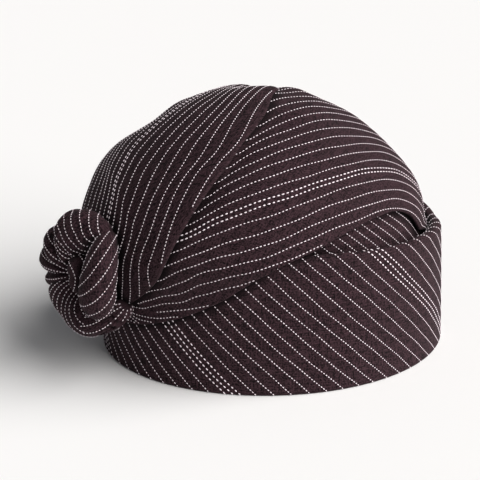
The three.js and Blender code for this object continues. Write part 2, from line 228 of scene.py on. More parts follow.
def tuck_place(along, under):
    """Places on the tuck, moved under the front drape by some degrees."""
    reach = along * tuck_length[-1]
    line = np.stack([np.interp(reach, tuck_length, tuck_line[:, n]) for n in (0, 1)], -1)
    heading = np.stack([np.interp(reach, tuck_length, tuck_heading[:, n]) for n in (0, 1)], -1)
    return line + under * np.stack([heading[..., 1], -heading[..., 0]], -1)


def tuck_distance(back, side):
    """Degrees to the tuck, positive on the front drape and negative on the back drape."""
    places = np.stack([back, side], -1).reshape(-1, 2)
    far = np.empty(len(places))
    for start in range(0, len(places), AT_A_TIME):
        some = places[start:start + AT_A_TIME]
        apart = some[:, None] - tuck_line[None]
        nearest = np.argmin((apart ** 2).sum(-1), axis=1)
        gap = some - tuck_line[nearest]
        heading = tuck_heading[nearest]
        ahead = gap[:, 0] * heading[:, 1] - gap[:, 1] * heading[:, 0]
        far[start:start + AT_A_TIME] = np.copysign(np.linalg.norm(gap, axis=1), ahead)
    return far.reshape(np.shape(back))


print("tuck length on the dome's map, degrees:", round(tuck_length[-1], 1))

# %% [markdown]
# ## Relief of the drapes
# The cloth isn't a perfect dome. A table of soft dents and swells gives the places that the photograph shows,
# and slow random waves give the rest of the softness. A cloth simulation could do this too, but it would let
# the folds slide away from where they belong, so the relief is added along the surface's normal in code.

# %% Heights of the two drapes
DENTS = [
    (-80, -18, 8, -1.5), (-66, -16, 12, 1), (-54, -22, 11, 1.6), (-40, -20, 10, -1.2), (-26, -22, 7, 1.6),
    (-6, -4, 12, -1.4), (2, -12, 9, -3), (16, -12, 8, 1.8), (42, -8, 12, 2), (79, 5, 10, 1.1),
    (10, 28, 10, -1.4), (-28, 30, 14, 0.8), (4, 64, 16, 0.8), (86, -17, 9, 1.2),
]
DRAPE_WAVES = [(0.5, 42, 1), (0.16, 13, 2)]
TUCK_STEP = 3.2 * MM
TUCK_PUFF = 1.5 * MM
TUCK_VALLEY = 2.9 * MM
VALLEY_REACH = 4.6
CROWN_LIFT = 0.4
OFF_CROWN = (8, 28)
OVER_CUFF = (65, 86)
PUFF_ENDS = (1.5, 10)
FRONT_STEP_ENDS = (8, 22)
BACK_STEP_ENDS = (1, 16)
HEM_LIFT = 0.8 * MM
HEM_REACH = 6
HEM_LIFT_STARTS = (24, 40)
HEM_LIFT_ENDS = (96, 116)


def dents(back, side):
    """Dents and swells, each at a back and a side, with a reach in degrees and a height in mm."""
    total = np.zeros(np.shape(back))
    for at_back, at_side, reach, height in DENTS:
        far = np.hypot(back - at_back, side - at_side) / reach
        total += height * MM * np.exp(-far * far)
    return total


def lift_share(back, side):
    """The part of the tuck's step that lifts the front drape; over the cuff nothing can sink."""
    return mix(CROWN_LIFT, 1, ease(np.hypot(back, side), *OVER_CUFF))


def tuck_puff(back, side):
    """How much fuller than flat cloth the front drape's fold is."""
    off_crown = ease(np.hypot(back, side), *OFF_CROWN)
    return TUCK_PUFF * off_crown * (1 - ease(np.abs(tuck_distance(back, side)), *PUFF_ENDS))


def front_height(back, side):
    near = 1 - ease(np.abs(tuck_distance(back, side)), *FRONT_STEP_ENDS)
    return TUCK_STEP * lift_share(back, side) * near + tuck_puff(back, side)


def back_height(back, side):
    sunk = 1 - lift_share(back, side)
    far = np.abs(tuck_distance(back, side))
    near = 1 - ease(far, *BACK_STEP_ENDS)
    valley = np.exp(-(far / VALLEY_REACH) ** 2) * ease(np.hypot(back, side), *OFF_CROWN)
    return -sunk * (TUCK_STEP * near + TUCK_VALLEY * valley)


def hem_lift(back, side):
    """The folded lower edge stands a little off the cuff, so that it casts a shadow on it."""
    turned = np.abs(np.degrees(np.arctan2(side, -back)))
    short = LOWER_EDGE(turned) - np.hypot(back, side)
    lifted = HEM_LIFT * (1 - ease(short, 0, HEM_REACH))
    return lifted * ease(turned, *HEM_LIFT_STARTS) * (1 - ease(turned, *HEM_LIFT_ENDS))


def drape_surface(back, side, height):
    """Points and normals of a drape's outer face."""
    base, normal = dome_point(back, side), dome_normal(back, side)
    out = height(back, side) + dents(back, side) + hem_lift(back, side) + softness(base, DRAPE_WAVES)
    return base + normal * out[..., None], normal


print("dents and swells of the drapes:", len(DENTS))

# %% [markdown]
# ## Meshes from grids
# All the cloth is built as grids of points, because a grid gives even faces and a clean UV map in the cloth's
# own metres, which the weave follows. A drape is a closed wall: its outer face, a rounded fold, its inner
# face and another rounded fold. The Solidify modifier could thicken a sheet, but it leaves square edges.

# %% Grid helpers


def grid_quads(rows, columns, wrap_rows=False, wrap_columns=False):
    i = np.arange(rows if wrap_rows else rows - 1)[:, None]
    j = np.arange(columns if wrap_columns else columns - 1)[None]
    after_i, after_j = (i + 1) % rows, (j + 1) % columns
    corners = [i * columns + j, i * columns + after_j, after_i * columns + after_j, after_i * columns + j]
    return np.stack([np.broadcast_to(c, (i.size, j.size)) for c in corners], -1).reshape(-1, 4)


def new_piece(name, points, faces, cloth_uv, around=None):
    """A smooth mesh object at the origin; around is the cloth's length where its map closes on itself."""
    mesh = bpy.data.meshes.new(name)
    mesh.from_pydata((points + HAT_CENTRE).tolist(), [], [list(map(int, face)) for face in faces])
    mesh.validate()
    mesh.calc_loop_triangles()
    corners = np.array([triangle.vertices[:] for triangle in mesh.loop_triangles])
    a, b, c = (points[corners[:, n]] for n in range(3))
    if (a * np.cross(b, c)).sum() < 0:
        mesh.flip_normals()
    of_loop = np.empty(len(mesh.loops), int)
    mesh.loops.foreach_get("vertex_index", of_loop)
    uv = cloth_uv[of_loop]
    if around:
        starts = np.array([face.loop_start for face in mesh.polygons])
        most = np.repeat(np.maximum.reduceat(uv[:, 0], starts), [face.loop_total for face in mesh.polygons])
        uv[:, 0] += around * (most - uv[:, 0] > around / 2)
    layer = mesh.uv_layers.new(name="Cloth")
    layer.data.foreach_set("uv", uv.astype(np.float32).ravel())
    mesh.shade_smooth()
    piece = bpy.data.objects.new(name, mesh)
    bpy.context.scene.collection.objects.link(piece)
    surface = np.linalg.norm(np.cross(b - a, c - a), axis=1).sum() / 2
    print(f"{name}: {len(corners)} triangles, cloth of {surface / 2:.4f} square metres")
    return piece


def half_round(outer, inner, outward, steps):
    """Points of a rounded fold from an outer edge to an inner one."""
    middle, half = (outer + inner) / 2, (outer - inner) / 2
    away = outward - half * (outward * half).sum(-1, keepdims=True) / (half ** 2).sum(-1, keepdims=True)
    away = unit(away) * np.linalg.norm(half, axis=-1, keepdims=True)
    turns = np.pi * np.arange(1, steps) / steps
    return np.stack([middle + half * np.cos(t) + away * np.sin(t) for t in turns], 1)


DRAPE_CLOTH = 2 * MM
FOLD_STEPS = 7


def drape_wall(name, place, height, puff, along, across):
    """A closed wall over the places that place(u, v) gives, v running from the tuck to the lower edge."""
    u, v = np.meshgrid(np.linspace(0, 1, along), np.linspace(0, 1, across) ** 1.25, indexing="ij")
    places = place(u, v)
    outer, normal = drape_surface(places[..., 0], places[..., 1], height)
    inner = outer - (DRAPE_CLOTH + puff(places[..., 0], places[..., 1]))[..., None] * normal
    low_fold = half_round(outer[:, -1], inner[:, -1], outer[:, -1] - outer[:, -2], FOLD_STEPS)
    tuck_fold = half_round(inner[:, 0], outer[:, 0], outer[:, 0] - outer[:, 1], FOLD_STEPS)
    loop = np.concatenate([outer, low_fold, inner[:, ::-1], tuck_fold], 1)
    count = loop.shape[1]
    faces = grid_quads(along, count, wrap_columns=True).tolist()
    back_of = [2 * across + FOLD_STEPS - 2 - j for j in range(across)]
    for row in (0, (along - 1) * count):
        faces += [[row + j, row + j + 1, row + back_of[j + 1], row + back_of[j]] for j in range(across - 1)]
        faces.append([row + n for n in range(across - 1, across + FOLD_STEPS)])
        faces.append([row + n % count for n in range(back_of[0], count + 1)])
    steps_along = np.linalg.norm(np.diff(outer[:, across // 2], axis=0), axis=-1)
    steps_across = np.linalg.norm(np.diff(loop, axis=1), axis=-1)
    uv = np.empty(loop.shape[:2] + (2,))
    uv[..., 0] = np.r_[0, np.cumsum(steps_along)][:, None]
    uv[..., 1] = np.c_[np.zeros(along), np.cumsum(steps_across, axis=1)]
    return new_piece(name, loop.reshape(-1, 3), faces, uv.reshape(-1, 2))


# %% [markdown]
# ## Back drape and front drape
# The back drape starts under the tuck and wraps the near side, the back and the far side down to a folded
# edge. The front drape is a wide V from the tuck to the same folded edge. Both could be cut from one dome,
# but as walls over lines from the tuck to the lower edge they get rows that follow the folds.

# %% Drapes
TUCK_CORNER = 24.5
TUCK_UNDERLAP = 4


def edge_place(azimuth):
    polar = LOWER_EDGE(from_front(azimuth))
    angle = np.radians(azimuth)
    return np.stack([-polar * np.cos(angle), polar * np.sin(angle)], -1)


def back_place(u, v):
    start, end = tuck_place(u, TUCK_UNDERLAP), edge_place(mix(TUCK_CORNER, 360 - TUCK_CORNER, u))
    return mix(start, end, v[..., None])


def front_place(u, v):
    start, end = tuck_place(1 - u, 0), edge_place(mix(-TUCK_CORNER, TUCK_CORNER, u))
    return mix(start, end, v[..., None])


def no_puff(back, side):
    return np.zeros(np.shape(back))


back_drape = drape_wall("back_drape", back_place, back_height, no_puff, 300, 72)
front_drape = drape_wall("front_drape", front_place, front_height, tuck_puff, 190, 90)

# %% [markdown]
# ## Cuff
# The cuff is a band of doubled cloth, turned up and rolled over at its top. Its section is a closed line: up
# the outside, over the roll, down the inside and round the flat hem. Sweeping that line round the oval gives
# the ring, and measuring along the line gives the cloth's own width, so that stripes can run over the roll.

# %% Cuff
CUFF_WALL = 2.6 * MM
CUFF_ROLL = curve_through([(0, 2.1), (115, 2.1), (140, 2.8), (160, 4), (180, 4.2)])
CUFF_HEM_WIDTH = 7.2 * MM
CUFF_HEM_HEIGHT = 3 * MM
CUFF_HEM_CORNER = 1.4 * MM
CUFF_INSIDE = 12 * MM
CUFF_AROUND = np.pi * (CUFF_HALF_LENGTH + CUFF_HALF_WIDTH)
PRESS_HEIGHT = 73 * MM
PRESS_WIDTH = 1.3 * MM
PRESS_DEPTH = 0.55 * MM
PRESS_STARTS = (70, 90)
PRESS_ENDS = (112, 124)
CUFF_WAVES = [(0.55, 55, 3), (0.14, 15, 4)]


def cuff_relief(azimuth, height):
    """How far the cuff's outer face stands out: slow waves and a pressed crease near the top."""
    soft = softness(cuff_ring(azimuth, height, 0), CUFF_WAVES)
    turned = from_front(azimuth)
    along = ease(turned, *PRESS_STARTS) * (1 - ease(turned, *PRESS_ENDS))
    return soft - PRESS_DEPTH * np.exp(-((height - PRESS_HEIGHT) / PRESS_WIDTH) ** 2) * along


def cuff_surface(azimuth, width):
    """Points of the cuff's cloth at a width measured from the hem up the outside and over the roll."""
    azimuth, width = np.broadcast_arrays(azimuth, width)
    turned = from_front(azimuth)
    top, roll = CUFF_TOP(turned) * MM, CUFF_ROLL(turned) * MM
    upright = top - roll
    turn = np.clip((width - upright) / roll, 0, np.pi)
    down = np.maximum(width - upright - np.pi * roll, 0)
    inward = roll - roll * np.cos(turn)
    inward = mix(inward, np.minimum(inward, CUFF_WALL), ease(down, 0, CUFF_INSIDE))
    height = np.where(width < upright, width, upright + roll * np.sin(turn) - down)
    soft = cuff_relief(azimuth, height) * ease(height, 0, 8 * MM)
    return cuff_ring(azimuth, height, inward - soft)


def cuff_band(around, levels, hem_steps):
    azimuth = np.linspace(0, 360, around, endpoint=False)
    turned = from_front(azimuth)
    top, roll = CUFF_TOP(turned) * MM, CUFF_ROLL(turned) * MM
    full = 2 * (top - roll) + np.pi * roll - CUFF_HEM_HEIGHT
    width = mix(CUFF_HEM_CORNER, full[:, None], np.linspace(0, 1, levels)[None])
    face = cuff_surface(azimuth[:, None], width)
    turns = np.linspace(0, np.pi / 2, hem_steps)
    corner = CUFF_HEM_CORNER
    hem = [(CUFF_HEM_WIDTH - 0.5 * MM, CUFF_HEM_HEIGHT), (CUFF_HEM_WIDTH, CUFF_HEM_HEIGHT - 0.5 * MM)]
    hem += [(CUFF_HEM_WIDTH - corner + corner * np.cos(t), corner - corner * np.sin(t)) for t in turns]
    hem += [(corner - corner * np.sin(t), corner - corner * np.cos(t)) for t in turns[:-1]]
    rows = np.stack([cuff_ring(azimuth, np.full(around, z), np.full(around, inward)) for inward, z in hem], 1)
    loop = np.concatenate([face, rows], 1)
    count = loop.shape[1]
    faces = grid_quads(around, count, wrap_rows=True, wrap_columns=True)
    uv = np.zeros(loop.shape[:2] + (2,))
    uv[..., 0] = (azimuth / 360 * CUFF_AROUND)[:, None]
    uv[:, :levels, 1] = width
    uv[:, levels:, 1] = width[:, -1:] + 3 * MM * np.arange(1, count - levels + 1)
    return new_piece("cuff", loop.reshape(-1, 3), faces, uv.reshape(-1, 2), CUFF_AROUND)


cuff = cuff_band(420, 120, 5)

# %% [markdown]
# ## Cap
# The cap is the plain shell under the drapes. It shows in the gap between the back drape's fold and the cuff,
# and from below as the hat's inside. Oval sections from the hem up to the crown are joined by smooth curves.

# %% Cap
CAP_HEIGHTS = [3.3, 45, 83, 98, 115, 130, 142, 149, 153.2, 154.5]
CAP_HALF_LENGTH = curve_through(list(zip(CAP_HEIGHTS, [103, 100.5, 94.5, 91, 82.5, 67, 47, 29, 13, 2])))
CAP_HALF_WIDTH = curve_through(list(zip(CAP_HEIGHTS, [87, 85, 82, 80, 72.5, 58.5, 41, 25.5, 11.5, 1.8])))
CAP_MIDDLE = curve_through(list(zip(CAP_HEIGHTS, [0, 0, -5, -8, -10.5, -12, -12.8, -13.4, -13.4, -13.4])))
CAP_CLOTH = 2 * MM
CAP_WAVES = [(0.6, 30, 5)]
CAP_WAVES_START = (8 * MM, 40 * MM)
CAP_SWELL = 2.5 * MM
SWELL_AZIMUTH = 148
SWELL_TURN = 22
SWELL_HEIGHT = 90 * MM
SWELL_REACH = 12 * MM


def cap_point(azimuth, height):
    angle = np.radians(azimuth)
    level = height / MM
    across = CAP_HALF_WIDTH(level) * np.sin(angle)
    along = CAP_MIDDLE(level) - CAP_HALF_LENGTH(level) * np.cos(angle)
    return np.stack(np.broadcast_arrays(across * MM, along * MM, height), -1)


def cap_normal(azimuth, height):
    rise = cap_point(azimuth, height + 0.3 * MM) - cap_point(azimuth, height - 0.3 * MM)
    turned = cap_point(azimuth + 0.5, height) - cap_point(azimuth - 0.5, height)
    return unit(np.cross(turned, rise))


def cap_surface(azimuth, height):
    azimuth, height = np.broadcast_arrays(azimuth, height)
    base, normal = cap_point(azimuth, height), cap_normal(azimuth, height)
    soft = softness(base, CAP_WAVES) * ease(height, *CAP_WAVES_START)
    aside = (from_front(azimuth) - SWELL_AZIMUTH) / SWELL_TURN
    above = (height - SWELL_HEIGHT) / SWELL_REACH
    swell = CAP_SWELL * np.exp(-aside ** 2 - above ** 2)
    return base + normal * (soft + swell)[..., None], normal


def cap_shell(around, levels):
    azimuth = np.linspace(0, 360, around, endpoint=False)[:, None]
    bottom, top = CAP_HEIGHTS[0] * MM, CAP_HEIGHTS[-1] * MM
    height = mix(bottom, top, np.sin(np.linspace(0, np.pi / 2, levels)))[None]
    outer, normal = cap_surface(azimuth, height)
    inner = outer - CAP_CLOTH * normal
    inner[:, 0, 2] = bottom
    section = np.concatenate([inner[:, ::-1], outer], 1)
    count = section.shape[1]
    faces = grid_quads(around, count, wrap_rows=True).tolist()
    points = section.reshape(-1, 3)
    tips = np.array([inner[:, -1].mean(0), outer[:, -1].mean(0)])
    for tip, column in ((len(points), 0), (len(points) + 1, count - 1)):
        for i in range(around):
            pair = [i * count + column, (i + 1) % around * count + column]
            faces.append([tip] + (pair if column else pair[::-1]))
    uv = np.zeros(section.shape[:2] + (2,))
    uv[..., 0] = azimuth / 360 * CUFF_AROUND
    uv[..., 1] = np.r_[-height[0, ::-1], height[0]]
    uv = np.vstack([uv.reshape(-1, 2), [[0, -top], [0, top]]])
    return new_piece("cap", np.vstack([points, tips]), faces, uv, CUFF_AROUND)


cap = cap_shell(260, 72)

# %% [markdown]
# ## Knot
# The knot is one cloth wound on itself: a ring of overlapping rolls around a small inner curl, set on the
# front drape, with a plain root that fills the space behind them. Each roll is a swept oval along part of the
# ring, closed at its ends, with soft pleats where the cloth is drawn together. Where rolls meet they run into
# each other, which gives the deep creases. The side that lies on the drape is pressed flat against it. A
# sculpted lump could look alike, but rolls with known sizes also tell the stripes where to run.

# %% Knot rolls
KNOT_MIDDLE = np.array([39.5, -124.9, 66]) * MM
KNOT_FACING = math.radians(21.5)
OUTWARD = np.array([math.sin(KNOT_FACING), -math.cos(KNOT_FACING), 0])
LEFTWARD = np.array([math.cos(KNOT_FACING), math.sin(KNOT_FACING), 0])
UPWARD = np.array([0, 0, 1.0])
PLEAT_SHARPNESS = 0.6
END_FULLNESS = 6
KNOT_WAVES = [(0.5, 14, 6), (0.25, 6, 7)]
ROLLS = {
    "near": dict(start=-43, end=70, reach=24.5, wide=12.5, deep=10.5, lift=(0, 0, -13), pleats=0, pleat=0),
    "top": dict(start=57, end=121, reach=(28, 24, 24), wide=(9.5, 15.5, 13.5), deep=(8, 13, 14),
                lift=(-9.5, -4, -1), pleats=3, pleat=0.08),
    "far": dict(start=97, end=224, reach=(14.5, 20, 19), wide=(13, 17, 16), deep=(11, 13.5, 13),
                lift=(-1, 1.4, -1), pleats=4, pleat=0.36),
    "low": dict(start=204, end=300, reach=(20, 24.5, 29), wide=13, deep=12.5,
                lift=(2, -1, -4), pleats=2, pleat=0.06),
    "under": dict(start=270, end=326, reach=(26, 30.5, 28), wide=(9, 8.5, 7.5), deep=(10, 9, 8),
                  lift=(1, -5, -19), pleats=0, pleat=0),
    "curl": dict(start=-80, end=110, reach=6, wide=7.5, deep=10, lift=0, pleats=2, pleat=0.12),
    "root": dict(start=60, end=350, reach=10, wide=(13, 13, 15), deep=12,
                 lift=(-14, -14, -9), pleats=0, pleat=0),
}


def between(size, share):
    """A size along a roll: one number, or a parabola through those at its start, middle and end."""
    if isinstance(size, (int, float)):
        return size
    first, middle, last = size
    return first + share * (4 * middle - 3 * first - last + 2 * share * (first + last - 2 * middle))


def roll_point(roll, ring, turn):
    """Points of a roll at ring angles round the knot and turns round the roll, both in degrees."""
    share = (ring - roll["start"]) / (roll["end"] - roll["start"])
    t = np.clip(2 * share - 1, -1, 1)
    angle, turned = np.radians(ring), np.radians(turn)
    radial = np.cos(angle)[..., None] * LEFTWARD + np.sin(angle)[..., None] * UPWARD
    crease = 0
    if roll["pleats"]:
        crease = 1 - np.abs(np.sin(roll["pleats"] * np.pi * share)) ** PLEAT_SHARPNESS
    size = np.sqrt(1 - np.abs(t) ** END_FULLNESS) * (1 - roll["pleat"] * crease) * MM
    out = between(roll["reach"], share) * MM + between(roll["wide"], share) * size * np.cos(turned)
    forward = between(roll["lift"], share) * MM + between(roll["deep"], share) * size * np.sin(turned)
    return KNOT_MIDDLE + radial * out[..., None] + forward[..., None] * OUTWARD


def roll_surface(roll, ring, turn):
    ring, turn = np.broadcast_arrays(ring, turn)
    along = roll_point(roll, ring + 0.5, turn) - roll_point(roll, ring - 0.5, turn)
    around = roll_point(roll, ring, turn + 0.5) - roll_point(roll, ring, turn - 0.5)
    normal = unit(np.cross(along, around))
    base = roll_point(roll, ring, turn)
    return base + normal * softness(base, KNOT_WAVES)[..., None], normal


print("rolls of the knot:", ", ".join(ROLLS))

# %% Knot mesh
KNOT_SEAT_GAP = 0.4 * MM
SEAT_REACH = 20 * MM


def knot_mesh(along, around):
    points, faces, uvs = [], [], []
    count = 0
    for roll in ROLLS.values():
        share = (1 - np.cos(np.pi * np.linspace(0, 1, along))) / 2
        ring = mix(roll["start"], roll["end"], share[1:-1])[:, None]
        turn = np.linspace(0, 360, around, endpoint=False)[None]
        grid, _ = roll_surface(roll, ring, turn)
        tips = [roll_point(roll, np.array(float(roll[end])), np.array(0.0)) for end in ("start", "end")]
        rows = along - 2
        faces += (grid_quads(rows, around, wrap_columns=True)[:, ::-1] + count).tolist()
        first, last = count + rows * around, count + rows * around + 1
        for j in range(around):
            after = (j + 1) % around
            faces.append([first, count + j, count + after])
            faces.append([last, count + (rows - 1) * around + after, count + (rows - 1) * around + j])
        points += [grid.reshape(-1, 3), np.array(tips)]
        uv = np.stack(np.broadcast_arrays(np.radians(ring) * 25 * MM, np.radians(turn) * 12 * MM), -1)
        uvs += [uv.reshape(-1, 2), np.zeros((2, 2))]
        count += rows * around + 2
    return np.vstack(points), faces, np.vstack(uvs)


def surface_tree(*pieces):
    """A search tree over the outer faces of some pieces, in the hat's own frame."""
    points, faces = [], []
    for piece in pieces:
        start = len(points)
        points += [Vector(v.co) - Vector(HAT_CENTRE) for v in piece.data.vertices]
        faces += [[start + n for n in p.vertices] for p in piece.data.polygons]
    return BVHTree.FromPolygons(points, faces)


drape_tree = surface_tree(front_drape, back_drape)


def press_on_drape(points, gap):
    """Move points that sink into the drape out to a small gap, and tell how far each one went."""
    moved = np.zeros(len(points))
    for n, point in enumerate(points):
        near, normal, _, far = drape_tree.find_nearest(Vector(point))
        off = (Vector(point) - near).dot(normal)
        if off < gap and far < SEAT_REACH:
            points[n] = near + normal * gap
            moved[n] = gap - off
    return moved


knot_points, knot_faces, knot_uv = knot_mesh(72, 44)
pressed = press_on_drape(knot_points, KNOT_SEAT_GAP)
knot = new_piece("knot", knot_points, knot_faces, knot_uv)
print("points pressed flat on the drape:", np.count_nonzero(pressed))

# %% [markdown]
# ## Painted crease shade
# Shade is painted into the cloth's colour deep in the folds, where little light reaches. Each point of a piece
# looks for another cloth standing over it within a few millimetres, and the nearer that is, the deeper the
# point lies in a crease and the darker its painted shade. An ambient occlusion node could find such places
# while rendering, but an attribute is measured once and stays with the mesh, and the cloth's material darkens
# by it.

# %% Painted crease shade attribute
SHADE_REACH = 7 * MM


def crease_shade_depths(points, normals, trees):
    """How much painted shade a point gets: 1 where another cloth stands right over it, 0 in the open."""
    gaps, over = np.full(len(points), SHADE_REACH), np.zeros(len(points))
    for n, (point, normal) in enumerate(zip(points, normals)):
        for tree in trees:
            near, _, _, far = tree.find_nearest(point, gaps[n])
            if near is not None and far > 0:
                gaps[n], over[n] = far, (near - point).dot(normal) / far
    return (1 - ease(gaps, 0.8 * MM, SHADE_REACH)) * ease(over, -0.2, 0.3)


def roll_tree(roll, along=60, around=36):
    ring = np.linspace(roll["start"] + 1, roll["end"] - 1, along)[:, None]
    grid, _ = roll_surface(roll, ring, np.linspace(0, 360, around, endpoint=False)[None])
    faces = grid_quads(along, around, wrap_columns=True)[:, ::-1]
    return BVHTree.FromPolygons(grid.reshape(-1, 3).tolist(), faces.tolist())


roll_trees = {name: roll_tree(roll) for name, roll in ROLLS.items()}
pieces = [cuff, cap, back_drape, front_drape, knot]
piece_trees = [surface_tree(piece) for piece in pieces]
# Painted shade for every piece: darker where another piece, or on the knot another roll, stands close over it.
for piece in pieces:
    points = [vertex.co - Vector(HAT_CENTRE) for vertex in piece.data.vertices]
    normals = [vertex.normal.copy() for vertex in piece.data.vertices]
    others = [tree for other, tree in zip(pieces, piece_trees) if other is not piece]
    painted_shade = crease_shade_depths(points, normals, others)
    if piece is knot:
        of_roll = len(points) // len(ROLLS)
        for n, name in enumerate(ROLLS):
            here = slice(n * of_roll, (n + 1) * of_roll)
            rest = [tree for other, tree in roll_trees.items() if other != name]
            painted_shade[here] = np.maximum(painted_shade[here], crease_shade_depths(points[here], normals[here], rest))
    attribute = piece.data.attributes.new("painted_crease_shade", "FLOAT", "POINT")
    attribute.data.foreach_set("value", painted_shade.astype(np.float32))
    print(f"{piece.name}: {np.mean(painted_shade > 0.5):.0%} of its points lie deep in creases")

# %% [markdown]
# ## Cloth and thread
# The cloth is a plain weave of dark yarn with small thick places, called slubs. One shader node group gives
# the weave's height and tone from the cloth's own UV metres, and the cloth's material places it. Its yarn is
# far finer than a stripe, so it is a pattern and not geometry. The thread of the stitches is cream and a
# little fuzzy.

# %% Weave group


def new_group(name, inputs, outputs):
    group = bpy.data.node_groups.new(name, "ShaderNodeTree")
    for socket, kind, value in inputs:
        made = group.interface.new_socket(socket, in_out="INPUT", socket_type=kind)
        if value is not None:
            made.default_value = value
    for socket, kind in outputs:
        group.interface.new_socket(socket, in_out="OUTPUT", socket_type=kind)
    return group, group.nodes.new("NodeGroupInput"), group.nodes.new("NodeGroupOutput")


def math_node(tree, operation, first, second):
    """A Math node; each value is a number or a socket."""
    node = tree.nodes.new("ShaderNodeMath")
    node.operation = operation
    for socket, value in zip(node.inputs, (first, second)):
        if isinstance(value, (int, float)):
            socket.default_value = value
        else:
            tree.links.new(value, socket)
    return node.outputs[0]


def stretched_noise(tree, vector, across, along):
    """Noise that is drawn out along one of the cloth's two thread directions."""
    scale = tree.nodes.new("ShaderNodeVectorMath")
    scale.operation = "MULTIPLY"
    scale.inputs[1].default_value = (1 / across, 1 / along, 0)
    tree.links.new(vector, scale.inputs[0])
    yarn = tree.nodes.new("ShaderNodeTexNoise")
    yarn.noise_dimensions = "2D"
    yarn.inputs["Scale"].default_value = 1
    yarn.inputs["Detail"].default_value = 1.5
    tree.links.new(scale.outputs[0], yarn.inputs["Vector"])
    return yarn.outputs["Fac"]


def weave_group():
    group, entry, leave = new_group(
        "Plain weave",
        [("Cloth", "NodeSocketVector", None), ("Yarn Pitch", "NodeSocketFloat", 0.7 * MM)],
        [("Height", "NodeSocketFloat"), ("Tone", "NodeSocketFloat")],
    )
    split = group.nodes.new("ShaderNodeSeparateXYZ")
    group.links.new(entry.outputs["Cloth"], split.inputs[0])
    turns = math_node(group, "DIVIDE", 2 * math.pi, entry.outputs["Yarn Pitch"])
    warp = math_node(group, "SINE", math_node(group, "MULTIPLY", split.outputs[0], turns), 0)
    weft = math_node(group, "SINE", math_node(group, "MULTIPLY", split.outputs[1], turns), 0)
    crossing = math_node(group, "MULTIPLY", warp, weft)
    slubs = [stretched_noise(group, entry.outputs["Cloth"], *size)
             for size in ((9 * MM, 0.9 * MM), (0.9 * MM, 7 * MM), (1 * MM, 1 * MM))]
    tone = math_node(group, "MULTIPLY", math_node(group, "ADD", slubs[0], slubs[1]), 0.25)
    tone = math_node(group, "ADD", tone, math_node(group, "MULTIPLY", slubs[2], 0.5))
    group.links.new(tone, leave.inputs["Tone"])
    lift = math_node(group, "MULTIPLY", crossing, 0.25)
    group.links.new(math_node(group, "ADD", lift, tone), leave.inputs["Height"])
    return group


WEAVE = weave_group()
print("nodes of the weave group:", len(WEAVE.nodes))

# %% Cloth material


def principled(name):
    material = bpy.data.materials.new(name)
    material.use_nodes = True
    return material, material.node_tree, material.node_tree.nodes["Principled BSDF"]


def ramp(tree, value, low, high, dark, light):
    """Colours from dark to light as a value goes from low to high."""
    node = tree.nodes.new("ShaderNodeValToRGB")
    node.color_ramp.elements[0].position = low
    node.color_ramp.elements[1].position = high
    node.color_ramp.elements[0].color = (*dark, 1)
    node.color_ramp.elements[1].color = (*light, 1)
    tree.links.new(value, node.inputs[0])
    return node.outputs[0]


def cloth_material(name, dark, light):
    material, tree, shader = principled(name)
    uv = tree.nodes.new("ShaderNodeUVMap")
    uv.uv_map = "Cloth"
    weave = tree.nodes.new("ShaderNodeGroup")
    weave.node_tree = WEAVE
    tree.links.new(uv.outputs[0], weave.inputs["Cloth"])
    # Painted crease shade: the crease attribute mixes the woven tone towards the cloth's darkest colour.
    crease = tree.nodes.new("ShaderNodeAttribute")
    crease.attribute_name = "painted_crease_shade"
    shaded = tree.nodes.new("ShaderNodeMix")
    shaded.data_type = "RGBA"
    tree.links.new(crease.outputs["Fac"], shaded.inputs["Factor"])
    tree.links.new(ramp(tree, weave.outputs["Tone"], 0.39, 0.61, dark, light), shaded.inputs["A"])
    shaded.inputs["B"].default_value = (*dark, 1)
    tree.links.new(shaded.outputs["Result"], shader.inputs["Base Color"])
    place = tree.nodes.new("ShaderNodeTexCoord")
    worn = tree.nodes.new("ShaderNodeTexNoise")
    worn.inputs["Scale"].default_value = 60
    tree.links.new(place.outputs["Object"], worn.inputs["Vector"])
    rough = math_node(tree, "ADD", math_node(tree, "MULTIPLY", worn.outputs["Fac"], 0.15), 0.78)
    tree.links.new(rough, shader.inputs["Roughness"])
    bump = tree.nodes.new("ShaderNodeBump")
    bump.inputs["Strength"].default_value = 0.5
    bump.inputs["Distance"].default_value = 0.3 * MM
    tree.links.new(weave.outputs["Height"], bump.inputs["Height"])
    tree.links.new(bump.outputs[0], shader.inputs["Normal"])
    shader.inputs["Sheen Weight"].default_value = 0.02
    shader.inputs["Sheen Roughness"].default_value = 0.5
    shader.inputs["Specular IOR Level"].default_value = 0.08
    return material


dark_cloth = cloth_material("dark_cloth", (0.004, 0.0019, 0.0026), (0.048, 0.0245, 0.0305))
for piece in pieces:
    piece.data.materials.append(dark_cloth)
print("pieces of dark cloth:", len(pieces))

# %% Thread material


def thread_material(name, shade, bright):
    material, tree, shader = principled(name)
    place = tree.nodes.new("ShaderNodeTexCoord")
    fuzz = tree.nodes.new("ShaderNodeTexNoise")
    fuzz.inputs["Scale"].default_value = 900
    tree.links.new(place.outputs["Object"], fuzz.inputs["Vector"])
    tree.links.new(ramp(tree, fuzz.outputs["Fac"], 0.3, 0.65, shade, bright), shader.inputs["Base Color"])
    shader.inputs["Roughness"].default_value = 0.8
    shader.inputs["Specular IOR Level"].default_value = 0.2
    return material


cream_thread = thread_material("cream_thread", (0.73, 0.63, 0.68), (0.97, 0.87, 0.92))
print("materials:", dark_cloth.name, "and", cream_thread.name)

# %% [markdown]
# ## Stitches
# A pin stripe on this cloth is a row of running stitches. Each stripe is laid as a line of points on the
# cloth, with the cloth's normal kept on every point. A Geometry Nodes tree resamples the line at the stitch's
# pitch and puts a small rounded stitch on each point, turned along the line. Painted stripes would be
# quicker, but real stitches catch the light, and thousands of them come from one tree with a few named sizes.

# %% Stitch tree


